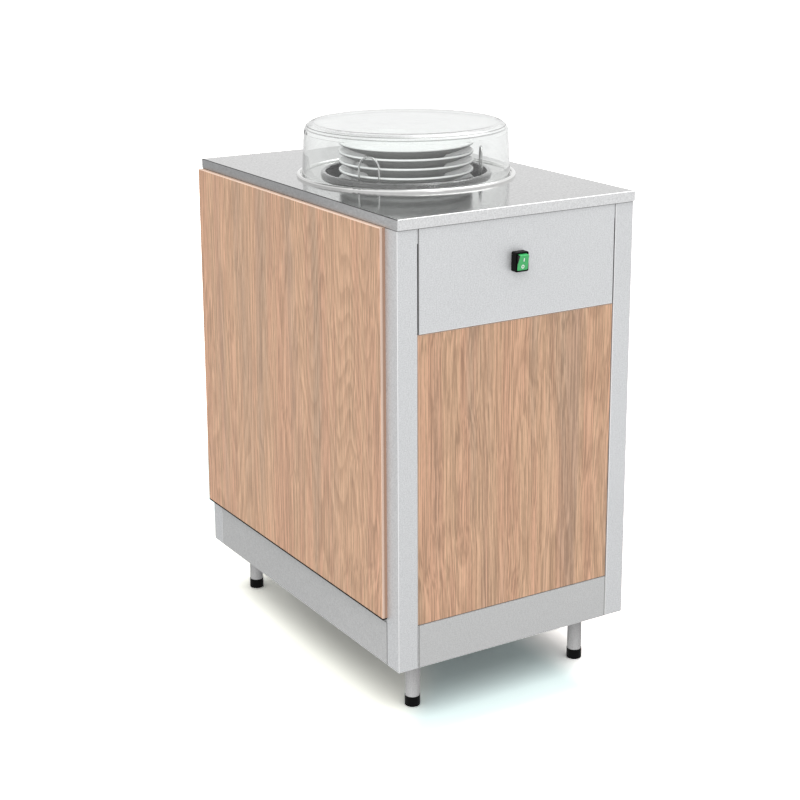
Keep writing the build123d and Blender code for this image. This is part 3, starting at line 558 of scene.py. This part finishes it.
def wavy_grain(made):
    """Object coordinates pushed sideways, so that upright grain sways and ripples."""
    sway = made.noise(OAK_SWAY)
    ripple = made.noise(OAK_RIPPLE, detail=1.0)
    push = made.summed((sway, OAK_SWAY_WIDTH), (ripple, OAK_RIPPLE_WIDTH))
    aside = made.node("ShaderNodeCombineXYZ")
    for axis in "XY":
        made.link(push, aside.inputs[axis])
    grain = made.node("ShaderNodeVectorMath", operation="ADD")
    made.link(made.place, grain.inputs[0])
    made.link(aside.outputs["Vector"], grain.inputs[1])
    return grain.outputs["Vector"]


def oak_figure(made, grain):
    """Broad colour of the veneer: pink and grey patches, and the dark lines of its rings."""
    broad = made.noise(OAK_BROAD, place=grain)
    patches = made.noise(OAK_PATCH, roughness=0.6, place=grain)
    field = made.noise(OAK_FIELD, detail=1.0, roughness=0.4, place=grain)
    rings = made.maths("FRACT", made.maths("MULTIPLY", field, OAK_RINGS))
    start, peak, end = OAK_RING_PEAK
    line = made.maths("MULTIPLY", made.span(rings, start, peak), made.span(rings, peak, end, 1.0, 0.0))
    body = made.mix(made.span(patches, *OAK_PINK_SPREAD), OAK_LIGHT, OAK_PINK)
    body = made.mix(made.span(broad, *OAK_GREY_SPREAD, 0.0, OAK_GREY_STRENGTH), body, OAK_GREY)
    return made.mix(made.maths("MULTIPLY", line, OAK_RING_STRENGTH), body, OAK_DARK)


def oak_edges(made, body, face):
    """Edges of a panel: darker end faces, a painted highlight along the rim, painted shade on the top edge inside
    the rim, and a painted shadow line at the foot of the front one.
    """
    facing = made.facing()
    spot = made.split(made.place)
    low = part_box("left_panel" if face == 0 else "front_panel")[0]
    start, end = (-low[face] - inset for inset in OAK_RIM)
    rim = made.span(made.maths("ABSOLUTE", spot[face]), start, end)
    ends = made.span(made.maths("ABSOLUTE", facing[1 - face]), *OAK_END_TURN)
    body = made.mix(ends, body, made.mix(rim, OAK_SIDE_EDGE, OAK_RIM_HIGHLIGHT))
    top = made.span(facing[2], *OAK_TOP_TURN)
    body = made.mix(top, body, made.mix(rim, OAK_TOP_SHADE, OAK_RIM_HIGHLIGHT))
    if face == 1:
        # Painted shadow line along the foot of the front panel
        foot = made.span(spot[2], low[2] + OAK_FOOT / 2, low[2] + OAK_FOOT, OAK_FOOT_SHADE_STRENGTH, 0.0)
        body = made.mix(foot, body, SEAM_SHADE)
    return body


def oak(name, face):
    """Oak laminate with upright grain; face is the axis that its broad faces look along."""
    made = Shader(name, OAK_LIGHT, OAK_ROUGHNESS[0])
    grain = wavy_grain(made)
    streak = made.noise(OAK_STREAK, detail=1.0, place=grain)
    fibre = made.noise(OAK_FIBRE, detail=1.0, place=grain)
    pore = made.noise(OAK_PORE, detail=1.0, place=grain)
    tone = made.summed((streak, OAK_STREAK_SHARE), (fibre, OAK_FIBRE_SHARE), (pore, OAK_PORE_SHARE))
    body = made.scaled(oak_figure(made, grain), made.span(tone, *OAK_TONE))
    made.colour(oak_edges(made, body, face))
    made.roughness(made.span(streak, *TONE_SPREAD, *OAK_ROUGHNESS))
    made.main.inputs["Specular IOR Level"].default_value = OAK_GLOSS
    made.bump(pore, *OAK_BUMP)
    return made.material


def speckled(name, colour, size, contrast, roughness, metallic=0.0, bump=0.0, gloss=0.5):
    """A plain material with speckle of a size, in metres."""
    made = Shader(name, colour, roughness, metallic)
    made.main.inputs["Specular IOR Level"].default_value = gloss
    speck = made.noise(1.0 / size)
    made.colour(toned(made, speck, colour, (1.0 - contrast, 1.0 + contrast)))
    smooth, rough = roughness - SPECK_ROUGHNESS, roughness + SPECK_ROUGHNESS
    made.roughness(made.span(speck, *TONE_SPREAD, smooth, rough))
    if bump:
        made.bump(speck, SPECK_BUMP, bump)
    return made.material


def china(name):
    """Glazed china: bright on top and on the rims, with painted shade and more roughness on the foot side."""
    made = Shader(name, CHINA, CHINA_ROUGHNESS[1])
    speck = made.noise(CHINA_SPECK)
    up = made.span(made.facing()[2], *CHINA_SHADE_TURN)
    # Painted shade on the faces that look down
    body = made.mix(up, CHINA_UNDER_SHADE, CHINA)
    made.colour(made.scaled(body, made.span(speck, *TONE_SPREAD, *CHINA_TONES)))
    made.roughness(made.span(up, 0.0, 1.0, *CHINA_ROUGHNESS))
    made.main.inputs["Specular IOR Level"].default_value = CHINA_GLOSS
    return made.material


def clear_plastic(name):
    """Clear polycarbonate: refracts, lets light through to what it covers, and has a painted dark line on its
    shoulder, standing for the line that the shoulder shows by refraction.
    """
    made = Shader(name, CLEAR, COVER_ROUGHNESS[1])
    made.main.inputs["Transmission Weight"].default_value = 1.0
    grazing = made.node("ShaderNodeLayerWeight")
    grazing.inputs["Blend"].default_value = 0.5
    body = made.mix(made.span(grazing.outputs["Facing"], *COVER_GRAZING), CLEAR, CLEAR_EDGE)
    # Painted dark line round the shoulder
    around = made.from_axis("cover")
    line = made.maths("MULTIPLY", made.span(around, *COVER_LINE[:2]),
                      made.span(around, *COVER_LINE[2:], 1.0, 0.0))
    line_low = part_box("cover")[1][2] - COVER_LINE_LOW
    above = made.span(made.split(made.place)[2], line_low, line_low + COVER_LINE_RISE)
    made.colour(made.mix(made.maths("MULTIPLY", line, above), body, CLEAR_PAINTED_LINE))
    made.main.inputs["IOR"].default_value = COVER_IOR
    smear = made.noise(COVER_SMEAR, detail=3.0)
    made.roughness(made.span(smear, *SMEAR_SPREAD, *COVER_ROUGHNESS))
    made.bump(made.noise(COVER_WAVE, detail=1.0), *COVER_BUMP)
    clear = made.node("ShaderNodeBsdfTransparent")
    clear.inputs["Color"].default_value = (*CLEAR_SHADOW, 1.0)
    choose = made.node("ShaderNodeMixShader")
    made.link(made.node("ShaderNodeLightPath").outputs["Is Shadow Ray"], choose.inputs["Fac"])
    made.link(made.main.outputs["BSDF"], choose.inputs[1])
    made.link(clear.outputs["BSDF"], choose.inputs[2])
    made.link(choose.outputs["Shader"], made.out.inputs["Surface"])
    return made.material


def rocker_green(name):
    """Green face of the rocker, with black flanks, a slanting left edge and a painted highlight on its right-hand
    arris.
    """
    made = Shader(name, GREEN, ROCKER_ROUGHNESS)
    across = made.facing()[0]
    body = toned(made, made.noise(ROCKER_SPECK), GREEN, ROCKER_TONES)
    # Painted highlight on the right-hand arris
    body = made.mix(made.span(across, *ROCKER_HIGHLIGHT_TURN), body, GREEN_HIGHLIGHT)
    body = made.mix(made.span(made.maths("ABSOLUTE", across), *ROCKER_FLANK), body, BLACK)
    low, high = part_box("switch_rocker")
    spot = made.split(made.place)
    left = made.span(spot[2], low[2], high[2], low[0], low[0] + ROCKER_SLANT)
    past = made.maths("SUBTRACT", spot[0], left)
    made.colour(made.mix(made.span(past, -LINE_SOFT, LINE_SOFT), BLACK, body))
    return made.material


def make_materials():
    """One material for each of the record's slots, and those of single nodes."""
    return {
        "steel_sheet": satin_steel("satin_steel"),
        "worktop_steel": top_steel("worktop_steel"),
        # Well steel, darker as painted shade
        "well_steel": satin_steel("well_steel", WELL_PAINTED_SHADE, folded=False),
        "round_steel": satin_steel("round_steel", folded=False),
        "sleeve_steel": satin_steel("sleeve_steel", SLEEVE_STEEL, low=0.60, high=0.70, metallic=0.4,
                                    folded=False),
        # Rail steel, darker as painted shade
        "rail_steel": satin_steel("rail_steel", RAIL_PAINTED_SHADE),
        "polished_steel": flange_steel("polished_steel"),
        "guide_steel": polished_steel("guide_steel", GUIDE_STEEL),
        "spring_steel": spring_steel("spring_steel"),
        "oak_laminate": oak("oak_laminate", face=1),
        "oak_sides": oak("oak_sides", face=0),
        "core_board": speckled("core_board", BOARD, size=0.004, contrast=0.25, roughness=0.8, bump=0.0003),
        "mineral_wool": speckled("mineral_wool", WOOL, size=0.003, contrast=0.3, roughness=0.9, bump=0.001),
        "china": china("china"),
        "clear_plastic": clear_plastic("clear_plastic"),
        "black_plastic": speckled("black_plastic", BLACK, size=0.0012, contrast=0.15, roughness=0.42,
                                  bump=0.00005, gloss=0.06),
        "green_plastic": rocker_green("green_plastic"),
        "grey_plastic": speckled("grey_plastic", GREY, size=0.0015, contrast=0.06, roughness=0.5,
                                 bump=0.00005),
        "white_plastic": speckled("white_plastic", NYLON, size=0.002, contrast=0.03, roughness=0.4),
        "brass": speckled("brass", BRASS, size=0.002, contrast=0.08, roughness=0.3, metallic=1.0),
        "mark_white": speckled("mark_white", MARK_WHITE, size=0.001, contrast=0.03, roughness=0.4),
    }


# Nodes that look different from the rest of their slot
OWN_LOOK = {
    "worktop": "worktop_steel",
    # The well and its top guide ring take the darker steel, painted shade
    "well_shell": "well_steel",
    "guide_top_ring": "well_steel",
    "guide_low_ring": "round_steel",
    "well_jacket": "round_steel",
    "well_floor": "round_steel",
    "carrier_disc": "round_steel",
    "carrier_cage": "round_steel",
    "spring_pins": "round_steel",
    "heater_element": "round_steel",
    "rear_panel_screws": "round_steel",
    "foot_plates": "round_steel",
    "foot_sleeves": "sleeve_steel",
    "front_rail": "rail_steel",
    "rear_rail": "rail_steel",
    "left_rail": "rail_steel",
    "right_rail": "rail_steel",
    "plate_guide_1": "guide_steel",
    "plate_guide_2": "guide_steel",
    "plate_guide_3": "guide_steel",
    "left_panel": "oak_sides",
    "right_panel": "oak_sides",
}


def dress(materials):
    """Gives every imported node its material."""
    for entry in frame["record"]["subparts"]:
        node = NODES[entry["node"]]
        key = OWN_LOOK.get(entry["node"], entry["material_slot"])
        node.data.materials.clear()
        node.data.materials.append(materials[key])


# Studio

def make_camera():
    """Camera at the photograph's viewing angle."""
    data = bpy.data.cameras.new("camera")
    data.sensor_width = CAMERA_SENSOR
    data.lens = CAMERA_LENS
    data.shift_y = CAMERA_SHIFT_Y
    camera = bpy.data.objects.new("camera", data)
    bpy.context.scene.collection.objects.link(camera)
    turn = Matrix.Rotation(math.radians(-CAMERA_YAW), 4, "Z")
    tip = Matrix.Rotation(math.radians(90.0 - CAMERA_PITCH), 4, "X")
    roll = Matrix.Rotation(math.radians(CAMERA_ROLL), 4, "Z")
    camera.matrix_world = Matrix.Translation(CAMERA_PLACE) @ turn @ tip @ roll
    bpy.context.scene.camera = camera


def pointing(azimuth, elevation):
    """Unit vector to an azimuth and elevation in degrees."""
    a = math.radians(azimuth)
    e = math.radians(elevation)
    return Vector((math.cos(a) * math.cos(e), math.sin(a) * math.cos(e), math.sin(e)))


def patch(tree, direction, azimuth, elevation, half, level):
    """Level inside a round patch of directions, 1 outside it."""
    unit = tree.nodes.new("ShaderNodeVectorMath")
    unit.operation = "NORMALIZE"
    tree.links.new(direction, unit.inputs[0])
    along = tree.nodes.new("ShaderNodeVectorMath")
    along.operation = "DOT_PRODUCT"
    along.inputs[1].default_value = pointing(azimuth, elevation)
    tree.links.new(unit.outputs[0], along.inputs[0])
    edge = math.cos(math.radians(half))
    inner = math.cos(math.radians(half * PATCH_INNER))
    return ranged(tree, along.outputs["Value"], edge, inner, 1.0, level)


def mirrored_room(tree, direction):
    """Level of the room by direction, as metal and glass mirror it."""
    level = patch(tree, direction, *DULL_SIDE)
    for spot in (BRIGHT_ABOVE, DARK_ABOVE, BRIGHT_STRIP):
        level = worked(tree, "MULTIPLY", level, patch(tree, direction, *spot))
    return level


def first_sight(tree):
    """1 for what the camera sees straight, mirrored or refracted; 0 for light that a surface scatters."""
    path = tree.nodes.new("ShaderNodeLightPath")
    return worked(tree, "LESS_THAN", path.outputs["Diffuse Depth"], 0.5)


def make_world():
    """White to the camera, with the studio's light and dark in metal; soft light for the rest."""
    world = bpy.data.worlds.new("world")
    world.use_nodes = True
    world.cycles.sampling_method = "NONE"
    tree = world.node_tree
    background = tree.nodes["Background"]
    background.inputs["Color"].default_value = (1.0, 1.0, 1.0, 1.0)
    path = tree.nodes.new("ShaderNodeLightPath")
    direction = tree.nodes.new("ShaderNodeTexCoord").outputs["Generated"]
    change = worked(tree, "SUBTRACT", mirrored_room(tree, direction), 1.0)
    seen = worked(tree, "ADD", worked(tree, "MULTIPLY", change, path.outputs["Is Glossy Ray"]), 1.0)
    gain = worked(tree, "SUBTRACT", seen, SKY_LEVEL)
    strength = worked(tree, "ADD", worked(tree, "MULTIPLY", gain, first_sight(tree)), SKY_LEVEL)
    tree.links.new(strength, background.inputs["Strength"])
    bpy.context.scene.world = world


def floor_tone_with_painted_shade(tree, place):
    """Colour of the floor to the camera, with its shadow painted in tones: in front, on the left, behind it, and
    further out.
    """
    split = tree.nodes.new("ShaderNodeSeparateXYZ")
    tree.links.new(place, split.inputs[0])
    x, y = split.outputs["X"], split.outputs["Y"]
    low, high = cad_box
    left = worked(tree, "SUBTRACT", low[0], x)
    ahead = worked(tree, "SUBTRACT", low[1], y)
    right = worked(tree, "ADD", x, FLOOR_RIGHT_PAST - high[0])
    beside = ranged(tree, left, *FLOOR_UNDER, 0.0, 1.0)
    side = ranged(tree, worked(tree, "SUBTRACT", left, ahead), *FLOOR_CORNER_REACH, 0.0, 1.0)
    side = worked(tree, "MULTIPLY", side, beside)
    rear = worked(tree, "MULTIPLY", ranged(tree, y, *FLOOR_REAR_REACH, 0.0, 1.0), beside)
    tone = blended(tree, side, FLOOR_FRONT_SHADE, blended(tree, rear, FLOOR_LEFT_SHADE, FLOOR_REAR_SHADE))
    off = worked(tree, "MAXIMUM", left, worked(tree, "MAXIMUM", ahead, right))
    return blended(tree, ranged(tree, off, *FLOOR_OUTER_REACH, 0.0, 1.0), tone, FLOOR_OUTER)


def floor_glow(tree, place):
    """Glow of the floor as metal and glass mirror it, darker near the cabinet as painted shade."""
    away = tree.nodes.new("ShaderNodeVectorMath")
    away.operation = "LENGTH"
    tree.links.new(place, away.inputs[0])
    level = ranged(tree, away.outputs["Value"], *NEAR_FLOOR_REACH, NEAR_FLOOR_SHADE, 1.0)
    return worked(tree, "MULTIPLY", level, patch(tree, place, *DULL_SIDE))


def floor_material():
    """Matt floor that keeps the shadow, and glows where metal and glass mirror it, darker near the cabinet as
    painted shade.
    """
    material = bpy.data.materials.new("floor")
    material.use_nodes = True
    material.cycles.emission_sampling = "NONE"
    tree = material.node_tree
    tree.nodes.clear()
    place = tree.nodes.new("ShaderNodeTexCoord").outputs["Object"]
    seen = first_sight(tree)
    matt = tree.nodes.new("ShaderNodeBsdfDiffuse")
    tree.links.new(blended(tree, seen, FLOOR_HIDDEN, floor_tone_with_painted_shade(tree, place)), matt.inputs["Color"])
    glow = tree.nodes.new("ShaderNodeEmission")
    tree.links.new(floor_glow(tree, place), glow.inputs["Strength"])
    path = tree.nodes.new("ShaderNodeLightPath")
    choose = tree.nodes.new("ShaderNodeMixShader")
    mirrored = worked(tree, "MULTIPLY", path.outputs["Is Glossy Ray"], seen)
    tree.links.new(mirrored, choose.inputs["Fac"])
    tree.links.new(matt.outputs[0], choose.inputs[1])
    tree.links.new(glow.outputs[0], choose.inputs[2])
    out = tree.nodes.new("ShaderNodeOutputMaterial")
    tree.links.new(choose.outputs[0], out.inputs["Surface"])
    return material


def make_floor():
    """Round floor under the cabinet."""
    mesh = bpy.data.meshes.new("floor")
    shape = bmesh.new()
    bmesh.ops.create_circle(shape, cap_ends=True, segments=96, radius=FLOOR_REACH)
    shape.to_mesh(mesh)
    shape.free()
    floor = bpy.data.objects.new("floor", mesh)
    bpy.context.scene.collection.objects.link(floor)
    mesh.materials.append(floor_material())
    return floor


def add_sun(name, azimuth, elevation, disc, level):
    """A soft sun lamp that metal and glass don't mirror."""
    data = bpy.data.lights.new(name, "SUN")
    data.angle = math.radians(disc)
    data.energy = level * math.pi
    lamp = bpy.data.objects.new(name, data)
    bpy.context.scene.collection.objects.link(lamp)
    lamp.matrix_world = pointing(azimuth, elevation).to_track_quat("Z", "Y").to_matrix().to_4x4()
    lamp.visible_glossy = False
    lamp.visible_transmission = False
    return lamp


def make_lights(floor):
    """Key light and a fill from behind on the object alone, and light from above that throws the shadow."""
    key = add_sun("key", *KEY)
    fill = add_sun("fill", *FILL)
    add_sun("overhead", *OVERHEAD)
    spared = bpy.data.collections.new("not_lit_by_key")
    spared.objects.link(floor)
    spared.collection_objects[0].light_linking.link_state = "EXCLUDE"
    for lamp in (key, fill):
        lamp.light_linking.receiver_collection = spared


# Marks on the rocker, and black strips under the side panels that stand for shade

def add_piece(name, shape, material, body):
    """A mesh piece that rides on a body; shape is a bmesh in the object's frame."""
    mesh = bpy.data.meshes.new(name)
    bmesh.ops.recalc_face_normals(shape, faces=shape.faces)
    shape.to_mesh(mesh)
    shape.free()
    piece = bpy.data.objects.new(name, mesh)
    bpy.context.scene.collection.objects.link(piece)
    piece.data.materials.append(material)
    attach(piece, body)


def oval(width, height, steps=32):
    """Points of an upright oval."""
    turn = [2 * math.pi * i / steps for i in range(steps)]
    return [(width / 2 * math.cos(a), height / 2 * math.sin(a)) for a in turn]


def bar(width, height, steps=8):
    """Points of an upright bar with round ends."""
    points = []
    for end in (1, -1):
        for i in range(steps + 1):
            a = math.pi * i / steps + (0 if end > 0 else math.pi)
            points.append((width / 2 * math.cos(a), end * (height - width) / 2 + width / 2 * math.sin(a)))
    return points


def mark_shape(outer, inner, up, across=0.0):
    """Thin raised mark on the rocker's face, between two outlines or inside one."""
    joint = next(j for j in frame["joints"] if j["name"] == "rocker_tilt")
    place = Matrix.Translation(joint["pos_m"]) @ Matrix.Rotation(math.radians(ROCKER_TILT), 4, "X")
    shape = bmesh.new()
    rings = []
    for depth in (-MARK_SINK, MARK_PROUD):
        for points in (outer, inner):
            spots = [place @ Vector((across + x, -ROCKER_FACE - depth, up + z)) for x, z in points]
            rings.append([shape.verts.new(spot) for spot in spots])
    low_out, low_in, high_out, high_in = rings
    count = len(outer)
    for i in range(count):
        k = (i + 1) % count
        shape.faces.new((low_out[i], low_out[k], high_out[k], high_out[i]))
        if inner:
            shape.faces.new((low_in[i], high_in[i], high_in[k], low_in[k]))
            shape.faces.new((high_out[i], high_out[k], high_in[k], high_in[i]))
            shape.faces.new((low_out[i], low_in[i], low_in[k], low_out[k]))
    if not inner:
        shape.faces.new(high_out)
        shape.faces.new(low_out[::-1])
    return shape


def add_marks(material):
    """On and off marks of the rocker."""
    upright = mark_shape(bar(*BAR_SIZE), [], BAR_UP, BAR_ACROSS)
    add_piece("rocker_mark_on", upright, material, "rocker")
    inside = oval(ZERO_SIZE[0] - 2 * ZERO_LINE, ZERO_SIZE[1] - 2 * ZERO_LINE)
    ring = mark_shape(oval(*ZERO_SIZE), inside, ZERO_UP)
    add_piece("rocker_mark_off", ring, material, "rocker")


def add_shade_strip(side, material):
    """Black strip let in under a side panel, just behind its outer face, standing for the shade below the panel.
    """
    low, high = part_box(side + "_panel")
    outer, sign = (low[0], 1.0) if side == "left" else (high[0], -1.0)
    shape = bmesh.new()
    x0, x1 = sorted((outer + sign * SHADE_STRIP_INSET, outer + sign * SHADE_STRIP_DEPTH))
    corners = [(x0, low[2] - SHADE_STRIP_HEIGHT), (x1, low[2] - SHADE_STRIP_HEIGHT), (x1, low[2]), (x0, low[2])]
    ends = [[shape.verts.new((x, y, z)) for x, z in corners] for y in (low[1], high[1])]
    for i in range(4):
        k = (i + 1) % 4
        shape.faces.new((ends[0][i], ends[0][k], ends[1][k], ends[1][i]))
    for end in ends:
        shape.faces.new(end)
    middle = low[2] - SHADE_STRIP_HEIGHT / 2
    lower = [edge for edge in shape.edges if all(v.co.z < middle for v in edge.verts)]
    bmesh.ops.bevel(shape, geom=lower, offset=SHADE_STRIP_ROUND, segments=2, affect="EDGES")
    add_piece(side + "_panel_shade_strip", shape, material, "cabinet")


# Build the scene
bpy.context.scene.view_settings.view_transform = "Standard"
make_camera()
make_world()
make_lights(make_floor())
MATERIALS = make_materials()
dress(MATERIALS)
add_marks(MATERIALS["mark_white"])
# Black strips standing for the shade under the side panels
for side in ("left", "right"):
    add_shade_strip(side, MATERIALS["black_plastic"])
